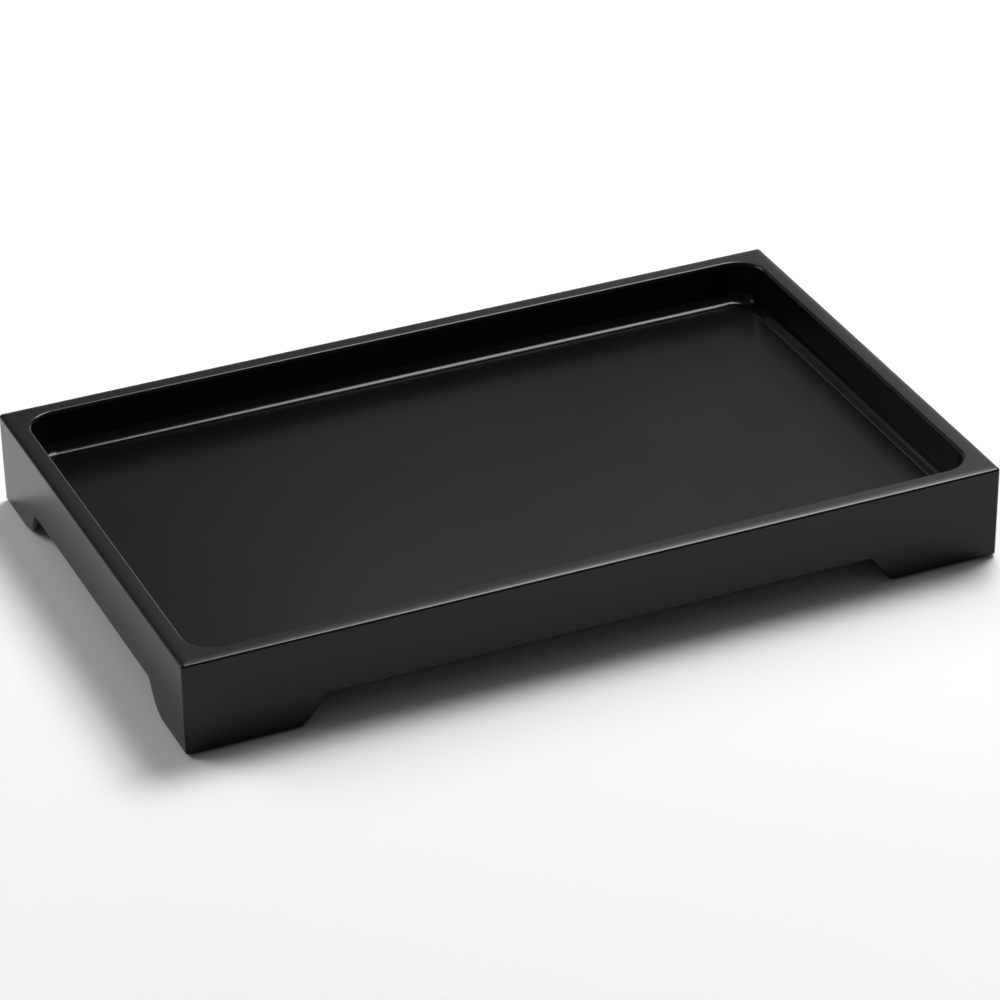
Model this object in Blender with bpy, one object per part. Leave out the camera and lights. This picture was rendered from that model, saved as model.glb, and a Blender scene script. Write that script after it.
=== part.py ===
"""Resin vanity tray: a one-piece casting with a drafted basin and four corner feet, on foam foot pads.

Metres, +Z up. The origin is the middle of the footprint, on the surface that the pads stand on.
The long faces look along -Y and +Y, the short faces along -X and +X.
"""
import math

import bmesh
import bpy
from mathutils import Matrix

# Casting, outside. Its height is that of its feet, base and basin together.
LENGTH = 0.3302
WIDTH = 0.2032
BASE_THICKNESS = 0.0097
OUTER_DRAFT = math.radians(0.5)
CORNER_RADIUS = 0.0016
TOP_EDGE_RADIUS = 0.0010

# Basin
RIM_WIDTH = 0.0075
BASIN_DEPTH = 0.0170
BASIN_DRAFT = math.radians(7.0)
BASIN_CORNER_RADIUS = 0.0120
FLOOR_FILLET = 0.0040

# Feet, left standing by one cut across each pair of opposite faces
FOOT_HEIGHT = 0.0114
LONG_FACE_FOOT = 0.0450
SHORT_FACE_FOOT = 0.0270
FLANK_RUN = 0.0092
FLANK_RADIUS = 0.0340
FLANK_ROOT_FILLET = 0.0015
FOOT_TOE_RADIUS = 0.0025
LOWER_EDGE_RADIUS = 0.0010

# Foot pads, each bonded into a shallow recess by a film of adhesive
PAD_DIAMETER = 0.0130
PAD_THICKNESS = 0.0014
PAD_EDGE = 0.0003
PAD_SIDE_CLEARANCE = 0.0004
FILM_THICKNESS = 0.0002
FILM_MARGIN = 0.0003
RECESS_DEPTH = 0.0008

# How far a cutter runs past the surface that it opens, and how near to each other two points count as one
OVERRUN = 0.0050
WELD = 0.00001

# An edge radius takes at most this share of the radius of a corner that it passes. A face is upright while
# the share of height in its normal is under the second value.
EDGE_IN_CORNER_SHARE = 0.8
UPRIGHT_SHARE = 0.1

# How finely curves are cut, and how they are shaded and flat areas joined
CORNER_STEPS = 10
FILLET_STEPS = 7
EDGE_STEPS = 4
FLANK_STEPS = 10
ROUND_STEPS = 40
PAD_EDGE_STEPS = 2
SMOOTH_ANGLE = math.radians(32)
FLAT_ANGLE = math.radians(0.05)

BODY_HEIGHT = FOOT_HEIGHT + BASE_THICKNESS + BASIN_DEPTH
FOOT_Z = PAD_THICKNESS + FILM_THICKNESS - RECESS_DEPTH
RIM_Z = FOOT_Z + BODY_HEIGHT
DRAFT_INSET = BODY_HEIGHT * math.tan(OUTER_DRAFT)

# A cut's outline is drawn flat, across and up, and turned to stand upright over its pair of faces
LONG_FACE_CUT = Matrix(((1, 0, 0, 0), (0, 0, -1, 0), (0, 1, 0, FOOT_Z), (0, 0, 0, 1)))
SHORT_FACE_CUT = Matrix(((0, 0, 1, 0), (1, 0, 0, 0), (0, 1, 0, FOOT_Z), (0, 0, 0, 1)))
MATERIALS = {
    "polyresin_black_lacquer": ((0.014, 0.014, 0.014, 1.0), 0.36),
    "eva_foam_black": ((0.020, 0.020, 0.021, 1.0), 0.90),
    "acrylic_adhesive": ((0.620, 0.600, 0.540, 1.0), 0.55),
}


def clear_scene():
    for obj in list(bpy.data.objects):
        bpy.data.objects.remove(obj, do_unlink=True)


def new_collection(name):
    collection = bpy.data.collections.new(name)
    bpy.context.scene.collection.children.link(collection)
    return collection


def new_material(name):
    colour, roughness = MATERIALS[name]
    material = bpy.data.materials.new(name)
    material.use_nodes = True
    shader = material.node_tree.nodes["Principled BSDF"]
    shader.inputs["Base Color"].default_value = colour
    shader.inputs["Roughness"].default_value = roughness
    shader.inputs["Metallic"].default_value = 0.0
    return material


def add_object(name, mesh, collection, material=None, location=(0, 0, 0)):
    obj = bpy.data.objects.new(name, mesh)
    obj.location = location
    collection.objects.link(obj)
    if material:
        mesh.materials.append(material)
    return obj


def add_bmesh(name, bm, collection, material=None, location=(0, 0, 0)):
    bmesh.ops.recalc_face_normals(bm, faces=bm.faces)
    mesh = bpy.data.meshes.new(name)
    bm.to_mesh(mesh)
    bm.free()
    return add_object(name, mesh, collection, material, location)


def add_cutter(obj):
    obj.hide_render = True
    obj.display_type = "WIRE"
    return obj


def subtract(obj, cutter):
    cut = obj.modifiers.new(cutter.name, "BOOLEAN")
    cut.operation = "DIFFERENCE"
    cut.solver = "EXACT"
    cut.object = cutter


def evaluated_mesh(obj):
    bpy.context.view_layer.update()
    depsgraph = bpy.context.evaluated_depsgraph_get()
    return bpy.data.meshes.new_from_object(obj.evaluated_get(depsgraph))


def shade_round(obj):
    obj.data.shade_smooth()
    obj.data.set_sharp_from_angle(angle=SMOOTH_ANGLE)


def round_edges(bm, edges, radius, steps):
    bmesh.ops.bevel(bm, geom=edges, offset=radius, offset_type="OFFSET", segments=steps, profile=0.5,
                    affect="EDGES", clamp_overlap=False)


def arc(centre, radius, start, end, steps):
    """Points of an arc in a plane, both ends included."""
    turns = [start + (end - start) * i / steps for i in range(steps + 1)]
    return [(centre[0] + radius * math.cos(t), centre[1] + radius * math.sin(t)) for t in turns]


def bearing(centre, point):
    return math.atan2(point[1] - centre[1], point[0] - centre[0])


def led_in(points):
    """An outline whose first stretch starts its own length early, to cross the surface it began on cleanly."""
    (across, height), (next_across, next_height) = points[:2]
    return [(2 * across - next_across, 2 * height - next_height)] + points[1:]


def outer_block(bm):
    """The casting's outside before it is cut: a drafted block with rounded upright and top edges."""
    cube = bmesh.ops.create_cube(bm, size=1.0)["verts"]
    bmesh.ops.scale(bm, vec=(LENGTH, WIDTH, BODY_HEIGHT), verts=cube)
    for vert in cube:
        if vert.co.z < 0:
            vert.co.x -= math.copysign(DRAFT_INSET, vert.co.x)
            vert.co.y -= math.copysign(DRAFT_INSET, vert.co.y)
    upright = [e for e in bm.edges if e.verts[0].co.z * e.verts[1].co.z < 0]
    round_edges(bm, upright, CORNER_RADIUS, EDGE_STEPS)
    top = [e for e in bm.edges if min(v.co.z for v in e.verts) > 0]
    round_edges(bm, top, min(TOP_EDGE_RADIUS, CORNER_RADIUS * EDGE_IN_CORNER_SHARE), EDGE_STEPS)
    bmesh.ops.translate(bm, vec=(0, 0, FOOT_Z + BODY_HEIGHT / 2), verts=bm.verts)


def basin_section():
    """The basin wall's section, as (inward offset, depth) pairs from the rim's flat down to the floor.

    It runs over the rounded inner edge, down the drafted wall and round the fillet at the floor.
    """
    draft = BASIN_DRAFT
    edge = (-TOP_EDGE_RADIUS * (1 - math.sin(draft)) / math.cos(draft), TOP_EDGE_RADIUS)
    over = arc(edge, TOP_EDGE_RADIUS, -math.pi / 2, -draft, EDGE_STEPS)
    drop = BASIN_DEPTH - FLOOR_FILLET
    foot = ((FLOOR_FILLET + drop * math.sin(draft)) / math.cos(draft), drop)
    under = arc(foot, FLOOR_FILLET, math.pi - draft, math.pi / 2, FILLET_STEPS)
    return over + under


def basin_cutter(collection):
    """The basin's space: its section carried round a rounded rectangle by insets of one face."""
    section = led_in(basin_section())
    first, first_depth = section[0]
    bm = bmesh.new()
    lid = bmesh.ops.create_grid(bm, x_segments=1, y_segments=1, size=0.5)["verts"]
    size = (LENGTH - 2 * (RIM_WIDTH + first), WIDTH - 2 * (RIM_WIDTH + first), 1)
    bmesh.ops.scale(bm, vec=size, verts=lid)
    bmesh.ops.bevel(bm, geom=lid, offset=BASIN_CORNER_RADIUS - first, offset_type="OFFSET",
                    segments=CORNER_STEPS, profile=0.5, affect="VERTICES", clamp_overlap=False)
    bmesh.ops.reverse_faces(bm, faces=bm.faces)
    floor = bm.faces[:][0]
    bmesh.ops.translate(bm, vec=(0, 0, RIM_Z + OVERRUN), verts=bm.verts)
    side = bmesh.ops.extrude_face_region(bm, geom=[floor], use_keep_orig=True)["geom"]
    lower = [g for g in side if isinstance(g, bmesh.types.BMVert)]
    bmesh.ops.translate(bm, vec=(0, 0, -OVERRUN - first_depth), verts=lower)
    floor = next(g for g in side if isinstance(g, bmesh.types.BMFace))
    for (offset, depth), (next_offset, next_depth) in zip(section, section[1:]):
        bmesh.ops.inset_region(bm, faces=[floor], thickness=next_offset - offset, depth=next_depth - depth,
                               use_boundary=True, use_even_offset=True)
    return add_cutter(add_bmesh("basin_cutter", bm, collection))


def flank_outline(half_span, foot):
    """One side of a cut between two feet, from the foot's sole up to the underside, as (across, height) pairs.

    The flank is a convex arc. A toe radius leads into it from the sole, and a root fillet out of it above.
    """
    toe, root = FOOT_TOE_RADIUS, FLANK_ROOT_FILLET
    chord = math.hypot(FLANK_RUN, FOOT_HEIGHT)
    reach = math.sqrt(FLANK_RADIUS ** 2 - chord ** 2 / 4) / chord
    middle = half_span - foot - FLANK_RUN / 2
    centre = (middle + FOOT_HEIGHT * reach, FOOT_HEIGHT / 2 + FLANK_RUN * reach)
    toe_run = math.sqrt((FLANK_RADIUS - toe) ** 2 - (centre[1] - toe) ** 2)
    toe_centre = (centre[0] - toe_run, toe)
    root_run = math.sqrt((FLANK_RADIUS + root) ** 2 - (centre[1] - FOOT_HEIGHT + root) ** 2)
    root_centre = (centre[0] - root_run, FOOT_HEIGHT - root)
    toe_turn, root_turn = bearing(centre, toe_centre), bearing(centre, root_centre)
    return (arc(toe_centre, toe, -math.pi / 2, toe_turn, EDGE_STEPS)
            + arc(centre, FLANK_RADIUS, toe_turn, root_turn, FLANK_STEPS)[1:-1]
            + arc(root_centre, root, root_turn + math.pi, math.pi / 2, EDGE_STEPS))


def channel_cutter(name, half_span, foot, reach, turned, collection):
    """The opening between two feet, right across the casting: a flat outline given its full run."""
    side = led_in(flank_outline(half_span, foot))
    side.insert(0, (side[0][0], -OVERRUN))
    outline = side + [(-across, height) for across, height in reversed(side)]
    curve = bpy.data.curves.new(name, "CURVE")
    curve.dimensions = "2D"
    curve.fill_mode = "BOTH"
    curve.extrude = reach
    spline = curve.splines.new("POLY")
    spline.use_cyclic_u = True
    spline.points.add(len(outline) - 1)
    for point, (across, height) in zip(spline.points, outline):
        point.co = (across, height, 0, 1)
    guide = add_object(name + "_outline", curve, collection)
    mesh = evaluated_mesh(guide)
    mesh.transform(turned)
    bpy.data.objects.remove(guide)
    bm = bmesh.new()
    bm.from_mesh(mesh)
    bmesh.ops.remove_doubles(bm, verts=bm.verts, dist=WELD)
    return add_cutter(add_bmesh(name, bm, collection))


def ease_lower_outline(obj):
    """Rounds the one closed edge that runs along the skirt, down each flank and round each foot's sole."""
    bm = bmesh.new()
    bm.from_mesh(obj.data)
    bmesh.ops.dissolve_limit(bm, angle_limit=FLAT_ANGLE, verts=bm.verts, edges=bm.edges)
    outline = []
    for edge in bm.edges:
        under, side = sorted(face.normal.z for face in edge.link_faces)
        if under < -UPRIGHT_SHARE and abs(side) < UPRIGHT_SHARE:
            outline.append(edge)
    limit = min(CORNER_RADIUS, FOOT_TOE_RADIUS) * EDGE_IN_CORNER_SHARE
    round_edges(bm, outline, min(LOWER_EDGE_RADIUS, limit), EDGE_STEPS)
    bm.to_mesh(obj.data)
    bm.free()


def pad_places():
    """The middle of each foot's sole, with the name of its corner."""
    x = LENGTH / 2 - DRAFT_INSET - (LONG_FACE_FOOT - DRAFT_INSET) / 2
    y = WIDTH / 2 - DRAFT_INSET - (SHORT_FACE_FOOT - DRAFT_INSET) / 2
    sides = {"left": -x, "right": x}
    ends = {"front": -y, "back": y}
    return [(f"{end}_{side}", ends[end], sides[side]) for end in ends for side in sides]


def disc(name, radius, low, high, collection, material=None, edge=0.0, place=(0, 0)):
    """A round disc between two heights, its lower rim eased by edge."""
    bm = bmesh.new()
    bmesh.ops.create_cone(bm, cap_ends=True, segments=ROUND_STEPS, radius1=radius, radius2=radius, depth=high - low)
    if edge:
        rim = [e for e in bm.edges if max(v.co.z for v in e.verts) < 0]
        round_edges(bm, rim, edge, PAD_EDGE_STEPS)
    bmesh.ops.translate(bm, vec=(0, 0, (low + high) / 2), verts=bm.verts)
    obj = add_bmesh(name, bm, collection, material, (place[0], place[1], 0))
    shade_round(obj)
    return obj


def tray_body(parts, cutters, material):
    bm = bmesh.new()
    outer_block(bm)
    body = add_bmesh("tray_body", bm, parts, material)
    subtract(body, basin_cutter(cutters))
    subtract(body, channel_cutter("long_face_cutter", LENGTH / 2, LONG_FACE_FOOT, WIDTH / 2 + OVERRUN,
                                  LONG_FACE_CUT, cutters))
    subtract(body, channel_cutter("short_face_cutter", WIDTH / 2, SHORT_FACE_FOOT, LENGTH / 2 + OVERRUN,
                                  SHORT_FACE_CUT, cutters))
    mesh = evaluated_mesh(body)
    body.modifiers.clear()
    body.data = mesh
    ease_lower_outline(body)
    for corner, y, x in pad_places():
        recess = disc(f"recess_cutter_{corner}", PAD_DIAMETER / 2 + PAD_SIDE_CLEARANCE, FOOT_Z - OVERRUN,
                      FOOT_Z + RECESS_DEPTH, cutters, place=(x, y))
        subtract(body, add_cutter(recess))
    shade_round(body)
    return body


def foot_pads(parts, foam, adhesive):
    film_low = FOOT_Z + RECESS_DEPTH - FILM_THICKNESS
    for corner, y, x in pad_places():
        disc(f"pad_adhesive_{corner}", PAD_DIAMETER / 2 - FILM_MARGIN, film_low, film_low + FILM_THICKNESS,
             parts, adhesive, place=(x, y))
        disc(f"foot_pad_{corner}", PAD_DIAMETER / 2, film_low - PAD_THICKNESS, film_low, parts, foam,
             edge=PAD_EDGE, place=(x, y))


def main():
    clear_scene()
    parts = new_collection("resin_vanity_tray")
    cutters = new_collection("cutters")
    tray_body(parts, cutters, new_material("polyresin_black_lacquer"))
    foot_pads(parts, new_material("eva_foam_black"), new_material("acrylic_adhesive"))


main()
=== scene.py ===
"""Resin vanity tray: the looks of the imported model, laid out as an add-on and run as a script.

Metres, +Z up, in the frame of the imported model: the origin is the middle of the footprint, on the surface
that the foot pads stand on, with the tray's length along X.
"""
import math

import bmesh
import bpy
from mathutils import Matrix, Vector


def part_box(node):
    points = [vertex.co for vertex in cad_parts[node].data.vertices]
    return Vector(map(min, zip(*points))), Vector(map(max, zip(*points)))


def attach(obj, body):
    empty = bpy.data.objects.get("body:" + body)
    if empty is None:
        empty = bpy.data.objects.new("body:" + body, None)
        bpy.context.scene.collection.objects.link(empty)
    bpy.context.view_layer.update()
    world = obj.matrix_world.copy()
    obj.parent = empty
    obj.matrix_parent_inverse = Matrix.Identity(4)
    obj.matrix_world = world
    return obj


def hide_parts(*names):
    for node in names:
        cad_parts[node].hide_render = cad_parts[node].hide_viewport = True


bl_info = {
    "name": "Resin Vanity Tray",
    "version": (1, 0, 0),
    "blender": (4, 5, 0),
    "location": "3D View > Sidebar > Vanity Tray",
    "description": "Builds a cast resin vanity tray with foam foot pads, its finishes and a plain studio",
    "category": "Object",
}

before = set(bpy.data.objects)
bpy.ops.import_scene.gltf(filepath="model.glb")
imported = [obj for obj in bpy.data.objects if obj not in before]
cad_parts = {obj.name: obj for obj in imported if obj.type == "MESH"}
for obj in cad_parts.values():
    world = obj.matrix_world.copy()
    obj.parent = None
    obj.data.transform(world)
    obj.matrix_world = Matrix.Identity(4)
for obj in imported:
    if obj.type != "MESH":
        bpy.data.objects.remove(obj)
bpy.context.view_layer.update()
BODY_LOW, BODY_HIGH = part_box("tray_body")
CORNERS = ("front_left", "front_right", "back_left", "back_right")
MM = 0.001

# How far a cutting form runs past what it opens, and how near to each other two points count as one
OVERRUN = 5 * MM
WELD = 0.01 * MM

# An edge radius takes at most this share of the radius of a corner that it passes. A face is upright while
# the share of height in its normal is under the second value.
EDGE_IN_CORNER_SHARE = 0.8
UPRIGHT_SHARE = 0.1

# Width of the level strip along the middle of the rim, from which the crown falls to both sides
RIM_LEVEL = 0.5 * MM

# How many steps the curves are cut in
CROWN_STEPS = 5
CORNER_STEPS = 20
FILLET_STEPS = 14
EDGE_STEPS = 8
FLANK_STEPS = 24
PAD_EDGE_STEPS = 4

# What counts as one flat, as a rounded edge and as a smooth one, and how wide a face is at least that is a
# flat and no strip of a rounded edge. A point counts to the rim's top up to so many times its crown's slope.
FLAT_ANGLE = math.radians(0.05)
ROUNDED_ANGLE = math.radians(3.5)
SMOOTH_ANGLE = math.radians(32)
FLAT_WIDTH = 2 * MM
RIM_SLOPE_MARGIN = 1.1

# How far the largest faces outweigh small ones in the shading of their points: 50 is neutral, 100 the most
FLATS_WEIGHT = 100

# The lacquer's orange peel and matting grain, each with its width and height and how much of it shows, and
# its patches of uneven gloss, in which the colour gets up to this many times as light. Real matting grain is
# a few hundredths of a millimetre wide, and is drawn ten times coarser so that it shows.
PEEL_WIDTH = 1.6 * MM
PEEL_HEIGHT = 0.02 * MM
PEEL_STRENGTH = 0.25
GRAIN_WIDTH = 0.35 * MM
GRAIN_HEIGHT = 0.01 * MM
GRAIN_STRENGTH = 0.2
PATCH_WIDTH = 42 * MM
PATCH_TINT = 1.25

# The lacquer's roughness runs between two values over a middle range of the patches' noise. The grain, the
# wear on rounded edges and the levelling of the rim each add their own.
LACQUER_IOR = 1.33
LACQUER_ROUGHNESS = (0.205, 0.235)
PATCH_RANGE = (0.3, 0.7)
GRAIN_ROUGHNESS = 0.03
WORN_ROUGHNESS = -0.07
LEVELLED_ROUGHNESS = 0.19

# The foam's cut cells, and its mottle, in which the colour gets up to this many times as light
CELL_WIDTH = 0.35 * MM
CELL_DEPTH = 0.08 * MM
CELL_STRENGTH = 0.6
MOTTLE_WIDTH = 2.5 * MM
MOTTLE_TINT = 1.35
FOAM_IOR = 1.49
FOAM_ROUGHNESS = (0.82, 0.96)

# The adhesive's bubbles, and what is left of its colour's light between them
BUBBLE_WIDTH = 0.6 * MM
BUBBLE_TINT = 0.85
ADHESIVE_IOR = 1.47
ADHESIVE_ROUGHNESS = (0.3, 0.5)

# The paper's tooth, and what is left of its colour's light in it. Real tooth is some tenths of a millimetre
# wide, and is drawn coarser so that it shows. Between two distances from the middle of the tray, in metres,
# the sheet turns from lit paper into the plain white of the backdrop.
TOOTH_WIDTH = 1.5 * MM
TOOTH_TINT = 0.985
PAPER_ROUGHNESS = 0.95
PAPER_FADE = (0.22, 0.6)

# Half the paper floor's side in metres, and how many cells it has each way
FLOOR_HALF = 6.0
FLOOR_CELLS = 8

# Width of the camera's sensor in millimetres
SENSOR_WIDTH = 36.0

# The studio's lamps: where each stands, in degrees over the horizon and degrees from the back toward the
# right, how far off, its width and height in metres, and its power
LAMPS = {
    "key_softbox": {
        "elevation": 62, "azimuth": 60, "distance": 1.6, "size": (0.75, 0.75), "watts": 23.4},
    "left_back_softbox": {
        "elevation": 35, "azimuth": -50, "distance": 1.8, "size": (0.9, 0.7), "watts": 9.2},
    "low_back_right_strip": {
        "elevation": 12, "azimuth": 40, "distance": 1.9, "size": (0.9, 0.5), "watts": 1.6},
    "back_right_strip": {
        "elevation": 45, "azimuth": 35, "distance": 1.7, "size": (0.9, 0.7), "watts": 1.4},
}

# The world's levels before and behind the tray, and between which shares of its way back they change over.
# A white band stands round its horizon as a backdrop, and fades out between two heights in degrees.
WORLD_FRONT = 0.10
WORLD_BACK = 0.23
WORLD_CHANGE_SHARES = (-0.3, 0.5)
BACKDROP_LEVEL = 1.0
BACKDROP_FADE = (2.5, 4.5)


def length_prop(label, description, default):
    return bpy.props.FloatProperty(name=label, description=description, default=default, min=0.0,
                                   subtype="DISTANCE", unit="LENGTH", precision=4)


def offset_prop(label, description, default):
    """A length that runs either way."""
    return bpy.props.FloatProperty(name=label, description=description, default=default,
                                   subtype="DISTANCE", unit="LENGTH", precision=4)


def angle_prop(label, description, degrees):
    return bpy.props.FloatProperty(name=label, description=description, default=math.radians(degrees),
                                   subtype="ANGLE", unit="ROTATION")


def hex_prop(label, description, default):
    return bpy.props.StringProperty(name=label, description=description + ", as an sRGB hex value",
                                    default=default, maxlen=6)


class VanityCastingSettings(bpy.types.PropertyGroup):
    length: length_prop("Length", "Casting's length at its top", 330.2 * MM)
    width: length_prop("Width", "Casting's width at its top", 203.2 * MM)
    sole_z: length_prop("Sole height", "Height of the feet's soles over the counter", BODY_LOW.z)
    rim_z: length_prop("Rim height", "Height of the rim over the counter", BODY_HIGH.z)
    outer_draft: angle_prop("Outer draft", "Slope of the outer faces out of the mould", 0.5)
    corner_radius: length_prop("Corner radius", "Radius of the upright outer corners", 1.6 * MM)
    top_edge_radius: length_prop("Top edge radius", "Radius of the rim's outer edge", 1.0 * MM)
    inner_edge_radius: length_prop("Inner edge radius", "Radius of the rim's edge at the basin", 1.4 * MM)
    rim_width: length_prop("Rim width", "Width of the rim, corner to corner", 7.5 * MM)
    outer_crown: angle_prop("Outer crown", "Slope that the rim's outer half falls to", 16.0)
    inner_crown: angle_prop("Inner crown", "Slope that the rim's inner half falls to", 3.0)
    basin_depth: length_prop("Basin depth", "Depth of the basin's floor under the rim", 17.0 * MM)
    basin_draft: angle_prop("Basin draft", "Slope of the basin's walls", 7.0)
    basin_corner_radius: length_prop("Basin corner radius", "Basin's plan radius at the rim", 12.0 * MM)
    floor_fillet: length_prop("Floor fillet", "Radius between the basin's walls and floor", 5.0 * MM)
    foot_height: length_prop("Foot height", "Height of the cut-outs between the feet", 11.4 * MM)
    long_face_foot: length_prop("Foot on a long face", "Sole's length along a long face", 45.0 * MM)
    short_face_foot: length_prop("Foot on a short face", "Sole's length along a short face", 29.0 * MM)
    flank_run: length_prop("Flank run", "How far a flank leans over its height", 9.2 * MM)
    flank_radius: length_prop("Flank radius", "Radius of a flank's arc", 34.0 * MM)
    flank_root_fillet: length_prop("Flank root fillet", "Radius between a flank and the base", 1.5 * MM)
    long_face_toe: length_prop("Toe on a long face", "Radius between a sole and its flank", 2.5 * MM)
    short_face_toe: length_prop("Toe on a short face", "Radius between a sole and its flank", 12.0 * MM)
    lower_edge_radius: length_prop("Lower edge radius", "Radius along the skirt and the feet", 1.0 * MM)
    recess_margin: length_prop("Recess margin", "Room round a pad in its recess", 0.4 * MM)
    recess_depth: length_prop("Recess depth", "Depth of a pad's recess", 0.8 * MM)
    lacquer: hex_prop("Lacquer", "Colour of the black lacquer", "090907")


class VanityPadSettings(bpy.types.PropertyGroup):
    edge_radius: length_prop("Edge radius", "Radius of the pad's cut edges", 0.35 * MM)
    foam: hex_prop("Foam", "Colour of the foam", "232325")
    adhesive: hex_prop("Adhesive", "Colour of the adhesive film", "cbc7bb")


class VanityStudioSettings(bpy.types.PropertyGroup):
    azimuth: angle_prop("Camera azimuth", "Round the tray from its front, leftward below zero", -23.458)
    elevation: angle_prop("Camera elevation", "Angle over the horizon", 30.225)
    roll: angle_prop("Camera roll", "Turn about the camera's own axis", -0.897)
    distance: length_prop("Camera distance", "From the middle of the rim's plane", 1.7338)
    aim_right: offset_prop("Aim right", "How far the rim's middle lies right of the view's axis", -2.74 * MM)
    aim_up: offset_prop("Aim up", "How far the rim's middle lies over the view's axis", 22.86 * MM)
    lens: bpy.props.FloatProperty(name="Lens", description="Focal length on a 36 mm wide sensor",
                                  default=163.01, subtype="DISTANCE_CAMERA", unit="CAMERA")
    paper: hex_prop("Paper", "Colour of the floor", "fbfbfa")


def linear(code):
    """The linear colour of an sRGB hex value, with full alpha."""
    parts = [int(code[i:i + 2], 16) / 255 for i in (0, 2, 4)]
    return [p / 12.92 if p <= 0.04045 else ((p + 0.055) / 1.055) ** 2.4 for p in parts] + [1.0]


def toned(code, times):
    """The linear colour of an sRGB hex value, that many times as light, with full alpha."""
    return [times * part for part in linear(code)[:3]] + [1.0]


def add_node(tree, kind, settings=(), links=(), **values):
    """Adds a node, sets its properties and its inputs by name, and links inputs from (node, output) pairs."""
    node = tree.nodes.new(kind)
    for name, value in dict(settings).items():
        setattr(node, name, value)
    for name, value in values.items():
        node.inputs[name.replace("_", " ")].default_value = value
    for name, (source, output) in dict(links).items():
        tree.links.new(source.outputs[output], node.inputs[name])
    return node


def new_material(name):
    """A material with an empty node tree, and its coordinates in metres."""
    material = bpy.data.materials.new(name)
    material.use_nodes = True
    material.node_tree.nodes.clear()
    place = add_node(material.node_tree, "ShaderNodeTexCoord")
    return material, material.node_tree, (place, "Object")


def finish_material(tree, shader, output="BSDF"):
    add_node(tree, "ShaderNodeOutputMaterial", links={"Surface": (shader, output)})


def seen_or_mirrored(tree):
    """1 for the rays that show the background in the view, in gloss or through glass, and 0 for its light."""
    path = add_node(tree, "ShaderNodeLightPath")
    shown = add_node(tree, "ShaderNodeMath", {"operation": "ADD"},
                     {0: (path, "Is Camera Ray"), 1: (path, "Is Glossy Ray")})
    return (add_node(tree, "ShaderNodeMath", {"operation": "ADD"},
                     {0: (shown, "Value"), 1: (path, "Is Transmission Ray")}), "Value")


def per_metre(size):
    """A texture's scale for a pattern of that real size."""
    return 1.0 / size


def satin_lacquer(settings):
    """Black satin lacquer sprayed on a cast, mineral-filled polyester resin.

    The spray leaves a faint orange peel and, over larger patches, a slightly uneven gloss. The matting grain
    breaks reflections up into a soft satin. Rounded edges get rubbed and the spray pools in the fillets, so
    both are a little shinier. The rim, levelled with an abrasive, is duller.
    """
    material, tree, place = new_material("satin_black_lacquer_on_cast_polyresin")
    peel = add_node(tree, "ShaderNodeTexNoise", {"noise_dimensions": "3D"}, {"Vector": place},
                    Scale=per_metre(PEEL_WIDTH), Detail=1.0, Roughness=0.4)
    grain = add_node(tree, "ShaderNodeTexNoise", {"noise_dimensions": "3D"}, {"Vector": place},
                     Scale=per_metre(GRAIN_WIDTH), Detail=2.0, Roughness=0.6)
    patches = add_node(tree, "ShaderNodeTexNoise", {"noise_dimensions": "3D"}, {"Vector": place},
                       Scale=per_metre(PATCH_WIDTH), Detail=3.0, Roughness=0.5)
    worn = add_node(tree, "ShaderNodeAttribute", {"attribute_name": "worn"})
    rim = add_node(tree, "ShaderNodeAttribute", {"attribute_name": "rim"})
    tint = add_node(tree, "ShaderNodeMix", {"data_type": "RGBA"}, {"Factor": (patches, "Fac")},
                    A=linear(settings.lacquer), B=toned(settings.lacquer, PATCH_TINT))
    gloss = add_node(tree, "ShaderNodeMapRange", (), {"Value": (patches, "Fac")},
                     From_Min=PATCH_RANGE[0], From_Max=PATCH_RANGE[1],
                     To_Min=LACQUER_ROUGHNESS[0], To_Max=LACQUER_ROUGHNESS[1])
    roughness = (gloss, "Result")
    for layer, change in ((grain, GRAIN_ROUGHNESS), (worn, WORN_ROUGHNESS), (rim, LEVELLED_ROUGHNESS)):
        added = add_node(tree, "ShaderNodeMath", {"operation": "MULTIPLY_ADD"},
                         {0: (layer, "Fac"), 2: roughness})
        added.inputs[1].default_value = change
        roughness = (added, "Value")
    relief = add_node(tree, "ShaderNodeBump", (), {"Height": (peel, "Fac")},
                      Strength=PEEL_STRENGTH, Distance=PEEL_HEIGHT)
    matting = add_node(tree, "ShaderNodeBump", (), {"Height": (grain, "Fac"), "Normal": (relief, "Normal")},
                       Strength=GRAIN_STRENGTH, Distance=GRAIN_HEIGHT)
    shader = add_node(tree, "ShaderNodeBsdfPrincipled", (),
                      {"Base Color": (tint, "Result"), "Roughness": roughness, "Normal": (matting, "Normal")},
                      IOR=LACQUER_IOR)
    finish_material(tree, shader)
    return material


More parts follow.
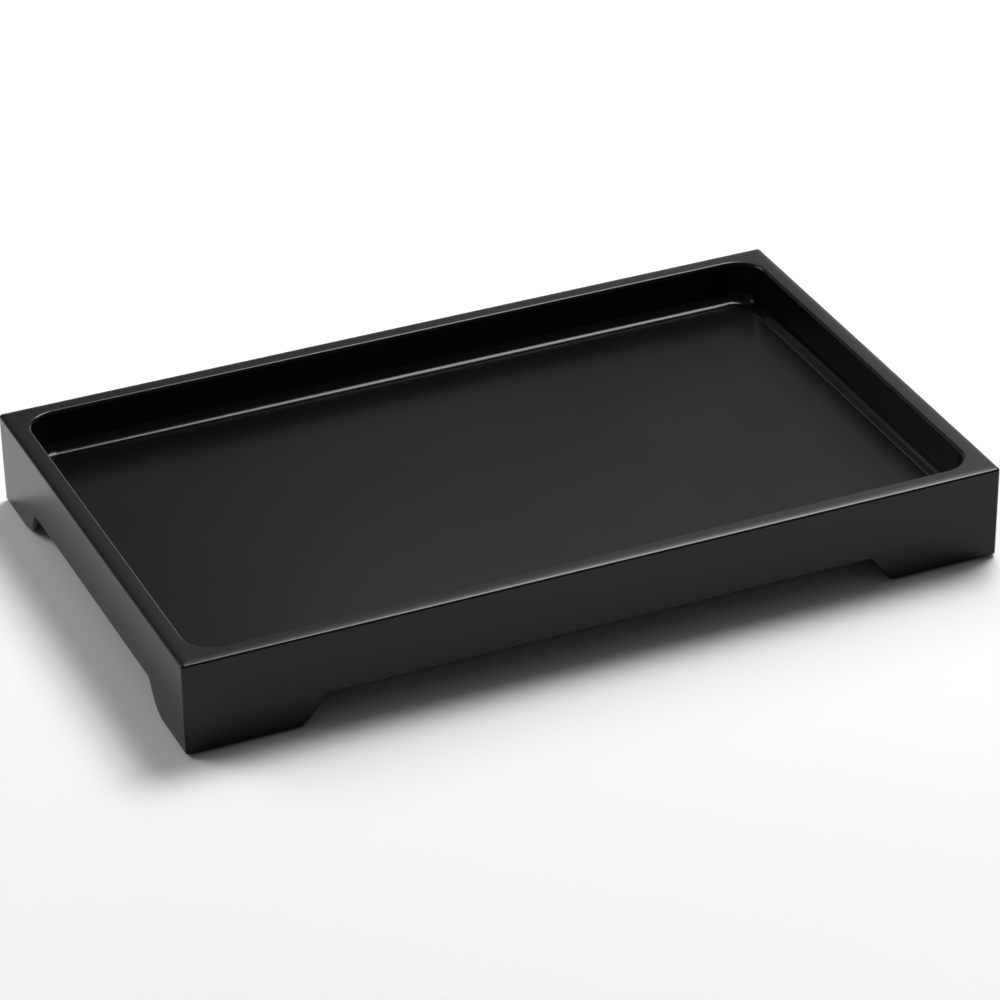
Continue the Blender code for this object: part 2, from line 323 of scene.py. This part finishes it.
def closed_cell_foam(settings):
    """Black EVA foam punched from sheet: matte, with fine closed cells that show as shallow pits."""
    material, tree, place = new_material("closed_cell_eva_foam")
    cells = add_node(tree, "ShaderNodeTexVoronoi", {"feature": "F1"}, {"Vector": place},
                     Scale=per_metre(CELL_WIDTH), Randomness=1.0)
    mottle = add_node(tree, "ShaderNodeTexNoise", {"noise_dimensions": "3D"}, {"Vector": place},
                      Scale=per_metre(MOTTLE_WIDTH), Detail=3.0)
    tint = add_node(tree, "ShaderNodeMix", {"data_type": "RGBA"}, {"Factor": (mottle, "Fac")},
                    A=linear(settings.foam), B=toned(settings.foam, MOTTLE_TINT))
    matt = add_node(tree, "ShaderNodeMapRange", (), {"Value": (mottle, "Fac")},
                    To_Min=FOAM_ROUGHNESS[0], To_Max=FOAM_ROUGHNESS[1])
    pits = add_node(tree, "ShaderNodeBump", (), {"Height": (cells, "Distance")},
                    Strength=CELL_STRENGTH, Distance=CELL_DEPTH)
    surface = {"Base Color": (tint, "Result"), "Roughness": (matt, "Result"), "Normal": (pits, "Normal")}
    shader = add_node(tree, "ShaderNodeBsdfPrincipled", (), surface, IOR=FOAM_IOR)
    finish_material(tree, shader)
    return material


def transfer_adhesive(settings):
    """Acrylic transfer adhesive: a milky film with tiny trapped bubbles, smooth where it wets the foam."""
    material, tree, place = new_material("acrylic_transfer_adhesive")
    bubbles = add_node(tree, "ShaderNodeTexVoronoi", {"feature": "F1"}, {"Vector": place},
                       Scale=per_metre(BUBBLE_WIDTH), Randomness=1.0)
    tint = add_node(tree, "ShaderNodeMix", {"data_type": "RGBA"}, {"Factor": (bubbles, "Distance")},
                    A=linear(settings.adhesive), B=toned(settings.adhesive, BUBBLE_TINT))
    wet = add_node(tree, "ShaderNodeMapRange", (), {"Value": (bubbles, "Distance")},
                   To_Min=ADHESIVE_ROUGHNESS[0], To_Max=ADHESIVE_ROUGHNESS[1])
    shader = add_node(tree, "ShaderNodeBsdfPrincipled", (),
                      {"Base Color": (tint, "Result"), "Roughness": (wet, "Result")}, IOR=ADHESIVE_IOR)
    finish_material(tree, shader)
    return material


def paper(settings):
    """White background paper, matte, with the faint tooth of uncoated stock. Far off it shows plain white."""
    material, tree, place = new_material("white_background_paper")
    tooth = add_node(tree, "ShaderNodeTexNoise", {"noise_dimensions": "3D"}, {"Vector": place},
                     Scale=per_metre(TOOTH_WIDTH), Detail=2.0)
    tint = add_node(tree, "ShaderNodeMix", {"data_type": "RGBA"}, {"Factor": (tooth, "Fac")},
                    A=linear(settings.paper), B=toned(settings.paper, TOOTH_TINT))
    sheet = add_node(tree, "ShaderNodeBsdfPrincipled", (), {"Base Color": (tint, "Result")},
                     Roughness=PAPER_ROUGHNESS)
    away = add_node(tree, "ShaderNodeVectorMath", {"operation": "LENGTH"}, {0: place})
    far = add_node(tree, "ShaderNodeMapRange", {"interpolation_type": "SMOOTHSTEP"},
                   {"Value": (away, "Value")}, From_Min=PAPER_FADE[0], From_Max=PAPER_FADE[1])
    share = add_node(tree, "ShaderNodeMath", {"operation": "MULTIPLY"},
                     {0: (far, "Result"), 1: seen_or_mirrored(tree)})
    white = add_node(tree, "ShaderNodeEmission", Strength=BACKDROP_LEVEL)
    shader = add_node(tree, "ShaderNodeMixShader", (),
                      {"Fac": (share, "Value"), 1: (sheet, "BSDF"), 2: (white, "Emission")})
    finish_material(tree, shader, "Shader")
    return material


def arc(centre, radius, start, end, steps):
    """Points of an arc in a plane, both ends included."""
    turns = [start + (end - start) * i / steps for i in range(steps + 1)]
    return [(centre[0] + radius * math.cos(t), centre[1] + radius * math.sin(t)) for t in turns]


def bearing(centre, point):
    return math.atan2(point[1] - centre[1], point[0] - centre[0])


def led_in(points):
    """An outline whose first stretch starts its own length early, to cross the surface that it began on."""
    (across, height), (next_across, next_height) = points[:2]
    return [(2 * across - next_across, 2 * height - next_height)] + points[1:]


def object_from(name, data):
    obj = bpy.data.objects.new(name, data)
    bpy.context.scene.collection.objects.link(obj)
    return obj


def object_from_bmesh(name, bm):
    bmesh.ops.recalc_face_normals(bm, faces=bm.faces)
    mesh = bpy.data.meshes.new(name)
    bm.to_mesh(mesh)
    bm.free()
    return object_from(name, mesh)


def evaluated_mesh(obj):
    bpy.context.view_layer.update()
    return bpy.data.meshes.new_from_object(obj.evaluated_get(bpy.context.evaluated_depsgraph_get()))


def cut_away(obj, tools):
    """Cuts the tools out of an object, one after another, and removes them."""
    for tool in tools:
        cut = obj.modifiers.new(tool.name, "BOOLEAN")
        cut.operation = "DIFFERENCE"
        cut.solver = "EXACT"
        cut.object = tool
    mesh = evaluated_mesh(obj)
    obj.modifiers.clear()
    obj.data = mesh
    for tool in tools:
        bpy.data.objects.remove(tool)


def round_edges(bm, edges, radius, steps):
    bmesh.ops.bevel(bm, geom=edges, offset=radius, offset_type="OFFSET", segments=steps, profile=0.5,
                    affect="EDGES", clamp_overlap=False)


def carried_round(name, section, length, width, radius, least_radius, steps):
    """A closed solid: a section of (inward offset, height) pairs carried round a rounded rectangle."""
    bm = bmesh.new()
    rings = []
    for offset, height in section:
        bend = max(radius - offset, least_radius)
        x, y = length / 2 - offset - bend, width / 2 - offset - bend
        ring = []
        for turn, centre in enumerate(((x, y), (-x, y), (-x, -y), (x, -y))):
            quarter = arc(centre, bend, turn * math.pi / 2, (turn + 1) * math.pi / 2, steps)
            ring += [bm.verts.new((*point, height)) for point in quarter]
        rings.append(ring)
    for ring, following in zip(rings, rings[1:]):
        for i in range(len(ring)):
            bm.faces.new((ring[i - 1], ring[i], following[i], following[i - 1]))
    bm.faces.new(rings[0])
    bm.faces.new(rings[-1])
    return object_from_bmesh(name, bm)


def rim_half(size, slope, lean, radius):
    """Half the rim's section, from its level middle strip down to one face, as (from the middle, drop) pairs.

    It falls in an arc to the crown's slope, and then rounds over into the face, which leans away as it drops.
    """
    level = RIM_LEVEL / 2
    rounding = radius * (1 / math.cos(lean) - math.sin(slope) - math.cos(slope) * math.tan(lean))
    reach = (size.rim_width / 2 - level - rounding) / (1 - math.tan(slope / 2) * math.tan(lean))
    crown = reach / math.sin(slope)
    drop = reach * math.tan(slope / 2) + radius * math.cos(slope)
    edge = (level + reach - radius * math.sin(slope), drop)
    return (arc((level, crown), crown, -math.pi / 2, slope - math.pi / 2, CROWN_STEPS)
            + arc(edge, radius, slope - math.pi / 2, -lean, EDGE_STEPS)[1:])


def outer_block(size):
    """The casting's outside before it is cut: drafted faces, rounded edges and the rim's outer half."""
    half_rim = size.rim_width / 2
    radius = min(size.top_edge_radius, size.corner_radius * EDGE_IN_CORNER_SHARE)
    rim = rim_half(size, size.outer_crown, -size.outer_draft, radius)
    section = [(half_rim - across, size.rim_z - drop) for across, drop in rim]
    section.append(((size.rim_z - size.sole_z) * math.tan(size.outer_draft), size.sole_z))
    return carried_round("cast_tray_body", section, size.length, size.width, size.corner_radius,
                         size.corner_radius * (1 - EDGE_IN_CORNER_SHARE), EDGE_STEPS)


def basin_tool(size):
    """The basin's space: the rim's inner half, the drafted wall, the floor's fillet and the floor."""
    draft, fillet = size.basin_draft, size.floor_fillet
    rim = rim_half(size, size.inner_crown, draft, size.inner_edge_radius)
    lead = led_in([(across - size.rim_width / 2, drop) for across, drop in rim])
    wall_depth = size.basin_depth - fillet
    foot = ((fillet + wall_depth * math.sin(draft)) / math.cos(draft), wall_depth)
    section = [(lead[0][0], -OVERRUN)] + lead
    section += arc(foot, fillet, math.pi - draft, math.pi / 2, FILLET_STEPS)
    both_rims = 2 * size.rim_width
    return carried_round("basin_tool", [(offset, size.rim_z - depth) for offset, depth in section],
                         size.length - both_rims, size.width - both_rims, size.basin_corner_radius, WELD,
                         CORNER_STEPS)


def flank_outline(size, half_span, foot, toe):
    """One side of a cut between two feet, from sole to underside, as (across, height) pairs."""
    root, radius = size.flank_root_fillet, size.flank_radius
    chord = math.hypot(size.flank_run, size.foot_height)
    reach = math.sqrt(radius ** 2 - chord ** 2 / 4) / chord
    middle = half_span - foot - size.flank_run / 2
    centre = (middle + size.foot_height * reach, size.foot_height / 2 + size.flank_run * reach)
    toe_run = math.sqrt((radius - toe) ** 2 - (centre[1] - toe) ** 2)
    toe_centre = (centre[0] - toe_run, toe)
    root_run = math.sqrt((radius + root) ** 2 - (centre[1] - size.foot_height + root) ** 2)
    root_centre = (centre[0] - root_run, size.foot_height - root)
    toe_turn, root_turn = bearing(centre, toe_centre), bearing(centre, root_centre)
    return (arc(toe_centre, toe, -math.pi / 2, toe_turn, EDGE_STEPS)
            + arc(centre, radius, toe_turn, root_turn, FLANK_STEPS)[1:-1]
            + arc(root_centre, root, root_turn + math.pi, math.pi / 2, EDGE_STEPS))


def channel_tool(size, name, half_span, foot, toe, reach, turned):
    """The opening between two feet, right across the casting: a flat outline given its full run."""
    side = led_in(flank_outline(size, half_span, foot, toe))
    side.insert(0, (side[0][0], -OVERRUN))
    outline = side + [(-across, height) for across, height in reversed(side)]
    curve = bpy.data.curves.new(name, "CURVE")
    curve.dimensions = "2D"
    curve.fill_mode = "BOTH"
    curve.extrude = reach
    spline = curve.splines.new("POLY")
    spline.use_cyclic_u = True
    spline.points.add(len(outline) - 1)
    for point, (across, height) in zip(spline.points, outline):
        point.co = (across, height, 0, 1)
    guide = object_from(name + "_outline", curve)
    mesh = evaluated_mesh(guide)
    bpy.data.objects.remove(guide)
    mesh.transform(turned)
    bm = bmesh.new()
    bm.from_mesh(mesh)
    bmesh.ops.remove_doubles(bm, verts=bm.verts, dist=WELD)
    return object_from_bmesh(name, bm)


def ease_lower_outline(obj, size):
    """Rounds the one closed edge that runs along the skirt, down each flank and round each foot's sole."""
    bm = bmesh.new()
    bm.from_mesh(obj.data)
    bmesh.ops.dissolve_limit(bm, angle_limit=FLAT_ANGLE, verts=bm.verts, edges=bm.edges)
    outline = []
    for edge in bm.edges:
        under, side = sorted(face.normal.z for face in edge.link_faces)
        if under < -UPRIGHT_SHARE and abs(side) < UPRIGHT_SHARE:
            outline.append(edge)
    limit = min(size.corner_radius, size.long_face_toe, size.short_face_toe) * EDGE_IN_CORNER_SHARE
    round_edges(bm, outline, min(size.lower_edge_radius, limit), EDGE_STEPS)
    bm.to_mesh(obj.data)
    bm.free()


def recess_tool(size, corner):
    """The round recess for one pad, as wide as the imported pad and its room, cut up from the sole."""
    low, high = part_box(f"foot_pad_{corner}")
    radius = (high.x - low.x) / 2 + size.recess_margin
    bm = bmesh.new()
    bmesh.ops.create_cone(bm, cap_ends=True, segments=4 * CORNER_STEPS, radius1=radius, radius2=radius,
                          depth=size.recess_depth + OVERRUN)
    middle = size.sole_z + (size.recess_depth - OVERRUN) / 2
    bmesh.ops.translate(bm, vec=((low.x + high.x) / 2, (low.y + high.y) / 2, middle), verts=bm.verts)
    return object_from_bmesh(f"recess_tool_{corner}", bm)


def mark_wear(obj, size):
    """Marks the points of the rim's top, and as worn those of rounded edges and fillets off all flats."""
    bm = bmesh.new()
    bm.from_mesh(obj.data)
    bm.normal_update()
    rim = bm.verts.layers.float.new("rim")
    for vert in bm.verts:
        high = vert.co.z > size.rim_z - size.top_edge_radius
        vert[rim] = float(high and vert.normal.z > math.cos(RIM_SLOPE_MARGIN * size.outer_crown))
    worn = bm.verts.layers.float.new("worn")
    # Twice a long strip's area over its outline's length is its width
    flats = {face for face in bm.faces if 2 * face.calc_area() / face.calc_perimeter() > FLAT_WIDTH}
    for edge in bm.edges:
        if edge.calc_face_angle() > ROUNDED_ANGLE:
            for vert in edge.verts:
                vert[worn] = float(flats.isdisjoint(vert.link_faces))
    bm.to_mesh(obj.data)
    bm.free()


def shade(obj):
    """Smooth shading that keeps the flats flat and the creases sharp."""
    obj.data.shade_smooth()
    obj.data.set_sharp_from_angle(angle=SMOOTH_ANGLE)
    weighted = obj.modifiers.new("flat_weighted_normals", "WEIGHTED_NORMAL")
    weighted.keep_sharp = True
    weighted.weight = FLATS_WEIGHT


class VANITY_OT_casting(bpy.types.Operator):
    """Build the one-piece casting: rim, basin, base and four corner feet, in satin black lacquer"""
    bl_idname = "vanity.casting"
    bl_label = "Cast Tray Body"

    def execute(self, context):
        size = context.scene.vanity_casting
        body = outer_block(size)
        # A channel is drawn with its width along X, height along Y and run along Z, and turned by these
        along = Matrix(((1, 0, 0, 0), (0, 0, -1, 0), (0, 1, 0, size.sole_z), (0, 0, 0, 1)))
        across = Matrix(((0, 0, 1, 0), (1, 0, 0, 0), (0, 1, 0, size.sole_z), (0, 0, 0, 1)))
        half_length, half_width = size.length / 2, size.width / 2
        cut_away(body, [
            basin_tool(size),
            channel_tool(size, "long_face_tool", half_length, size.long_face_foot, size.long_face_toe,
                         half_width + OVERRUN, along),
            channel_tool(size, "short_face_tool", half_width, size.short_face_foot, size.short_face_toe,
                         half_length + OVERRUN, across),
        ])
        ease_lower_outline(body, size)
        cut_away(body, [recess_tool(size, corner) for corner in CORNERS])
        mark_wear(body, size)
        shade(body)
        body.data.materials.clear()
        body.data.materials.append(satin_lacquer(size))
        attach(body, "root")
        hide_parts("tray_body")
        return {"FINISHED"}


class VANITY_OT_foot_pads(bpy.types.Operator):
    """Build the four round foam pads under the feet"""
    bl_idname = "vanity.foot_pads"
    bl_label = "Foam Foot Pads"

    def execute(self, context):
        settings = context.scene.vanity_pads
        foam = closed_cell_foam(settings)
        for corner in CORNERS:
            low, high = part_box(f"foot_pad_{corner}")
            radius = (high.x - low.x) / 2
            bm = bmesh.new()
            bmesh.ops.create_cone(bm, cap_ends=True, segments=4 * CORNER_STEPS, radius1=radius,
                                  radius2=radius, depth=high.z - low.z)
            rims = [edge for edge in bm.edges if edge.verts[0].co.z * edge.verts[1].co.z > 0]
            round_edges(bm, rims, settings.edge_radius, PAD_EDGE_STEPS)
            bmesh.ops.translate(bm, vec=(low + high) / 2, verts=bm.verts)
            pad = object_from_bmesh(f"punched_foam_pad_{corner}", bm)
            shade(pad)
            pad.data.materials.append(foam)
            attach(pad, "root")
            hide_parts(f"foot_pad_{corner}")
        return {"FINISHED"}


class VANITY_OT_pad_adhesive(bpy.types.Operator):
    """Finish the films of adhesive that hold the pads in their recesses"""
    bl_idname = "vanity.pad_adhesive"
    bl_label = "Pad Adhesive"

    def execute(self, context):
        film = transfer_adhesive(context.scene.vanity_pads)
        for corner in CORNERS:
            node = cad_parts[f"pad_adhesive_{corner}"]
            node.data.materials.clear()
            node.data.materials.append(film)
        return {"FINISHED"}


def add_camera(studio, height):
    """The photograph's camera: its axis passes beside and under the middle of the rim's plane."""
    a, e, roll = studio.azimuth, studio.elevation, studio.roll
    back = Vector((math.sin(a) * math.cos(e), -math.cos(a) * math.cos(e), math.sin(e)))
    level = Vector((math.cos(a), math.sin(a), 0))
    plumb = back.cross(level)
    right = math.cos(roll) * level + math.sin(roll) * plumb
    up = math.cos(roll) * plumb - math.sin(roll) * level
    data = bpy.data.cameras.new("studio_camera")
    data.lens = studio.lens
    data.sensor_width = SENSOR_WIDTH
    camera = object_from("studio_camera", data)
    place = Vector((0, 0, height)) + back * studio.distance - right * studio.aim_right - up * studio.aim_up
    camera.matrix_world = Matrix.Translation(place) @ Matrix((right, up, back)).transposed().to_4x4()
    bpy.context.scene.camera = camera


def add_floor(studio):
    """A large sheet of white paper on the counter, seamless to the horizon."""
    bm = bmesh.new()
    bmesh.ops.create_grid(bm, x_segments=FLOOR_CELLS, y_segments=FLOOR_CELLS, size=FLOOR_HALF)
    floor = object_from_bmesh("paper_floor", bm)
    floor.data.materials.append(paper(studio))


def add_lamp(name, elevation, azimuth, distance, size, watts):
    """A soft rectangular lamp that points at the tray. Its azimuth turns from the back to the right."""
    e, a = math.radians(elevation), math.radians(azimuth)
    away = Vector((math.sin(a) * math.cos(e), math.cos(a) * math.cos(e), math.sin(e)))
    data = bpy.data.lights.new(name, "AREA")
    data.shape = "RECTANGLE"
    data.size, data.size_y = size
    data.energy = watts
    lamp = object_from(name, data)
    lamp.location = away * distance
    lamp.rotation_euler = away.to_track_quat("Z", "Y").to_euler()
    lamp.visible_camera = False


def add_world():
    """A dim room, darker before the tray than behind it, and a white backdrop that only shows and mirrors."""
    world = bpy.data.worlds.new("studio_world")
    world.use_nodes = True
    bpy.context.scene.world = world
    tree = world.node_tree
    tree.nodes.clear()
    way = add_node(tree, "ShaderNodeTexCoord")
    split = add_node(tree, "ShaderNodeSeparateXYZ", links={"Vector": (way, "Generated")})
    back = add_node(tree, "ShaderNodeMapRange", {"interpolation_type": "SMOOTHSTEP"}, {"Value": (split, "Y")},
                    From_Min=WORLD_CHANGE_SHARES[0], From_Max=WORLD_CHANGE_SHARES[1],
                    To_Min=WORLD_FRONT, To_Max=WORLD_BACK)
    low, high = (math.sin(math.radians(height)) for height in BACKDROP_FADE)
    band = add_node(tree, "ShaderNodeMapRange", {"interpolation_type": "SMOOTHSTEP"}, {"Value": (split, "Z")},
                    From_Min=high, From_Max=low, To_Min=0.0, To_Max=BACKDROP_LEVEL)
    both = add_node(tree, "ShaderNodeMath", {"operation": "MULTIPLY_ADD"},
                    {0: (band, "Result"), 1: seen_or_mirrored(tree), 2: (back, "Result")})
    light = add_node(tree, "ShaderNodeBackground", (), {"Strength": (both, "Value")}, Color=(1, 1, 1, 1))
    add_node(tree, "ShaderNodeOutputWorld", links={"Surface": (light, "Background")})


class VANITY_OT_studio(bpy.types.Operator):
    """Build the paper floor, the soft lamps, the world and the photograph's camera"""
    bl_idname = "vanity.studio"
    bl_label = "Studio"

    def execute(self, context):
        studio = context.scene.vanity_studio
        add_floor(studio)
        for name, lamp in LAMPS.items():
            add_lamp(name, **lamp)
        add_world()
        add_camera(studio, context.scene.vanity_casting.rim_z)
        context.scene.view_settings.view_transform = "Standard"
        return {"FINISHED"}


class VANITY_PT_tray(bpy.types.Panel):
    """Sizes and colours of the tray, and the steps that build it"""
    bl_idname = "VANITY_PT_tray"
    bl_label = "Vanity Tray"
    bl_space_type = "VIEW_3D"
    bl_region_type = "UI"
    bl_category = "Vanity Tray"

    def draw(self, context):
        for settings, operators in STEPS:
            group = getattr(context.scene, settings)
            box = self.layout.box()
            for name in group.__annotations__:
                box.prop(group, name)
            for operator in operators:
                box.operator(operator.bl_idname)


STEPS = (
    ("vanity_casting", (VANITY_OT_casting,)),
    ("vanity_pads", (VANITY_OT_foot_pads, VANITY_OT_pad_adhesive)),
    ("vanity_studio", (VANITY_OT_studio,)),
)
GROUPS = {
    "vanity_casting": VanityCastingSettings,
    "vanity_pads": VanityPadSettings,
    "vanity_studio": VanityStudioSettings,
}
CLASSES = (*GROUPS.values(), *(operator for step in STEPS for operator in step[1]), VANITY_PT_tray)


def register():
    for cls in CLASSES:
        bpy.utils.register_class(cls)
    for name, group in GROUPS.items():
        setattr(bpy.types.Scene, name, bpy.props.PointerProperty(type=group))


def unregister():
    for name in GROUPS:
        delattr(bpy.types.Scene, name)
    for cls in reversed(CLASSES):
        bpy.utils.unregister_class(cls)


def main():
    register()
    bpy.ops.vanity.casting()
    bpy.ops.vanity.foot_pads()
    bpy.ops.vanity.pad_adhesive()
    bpy.ops.vanity.studio()


if __name__ == "__main__":
    main()
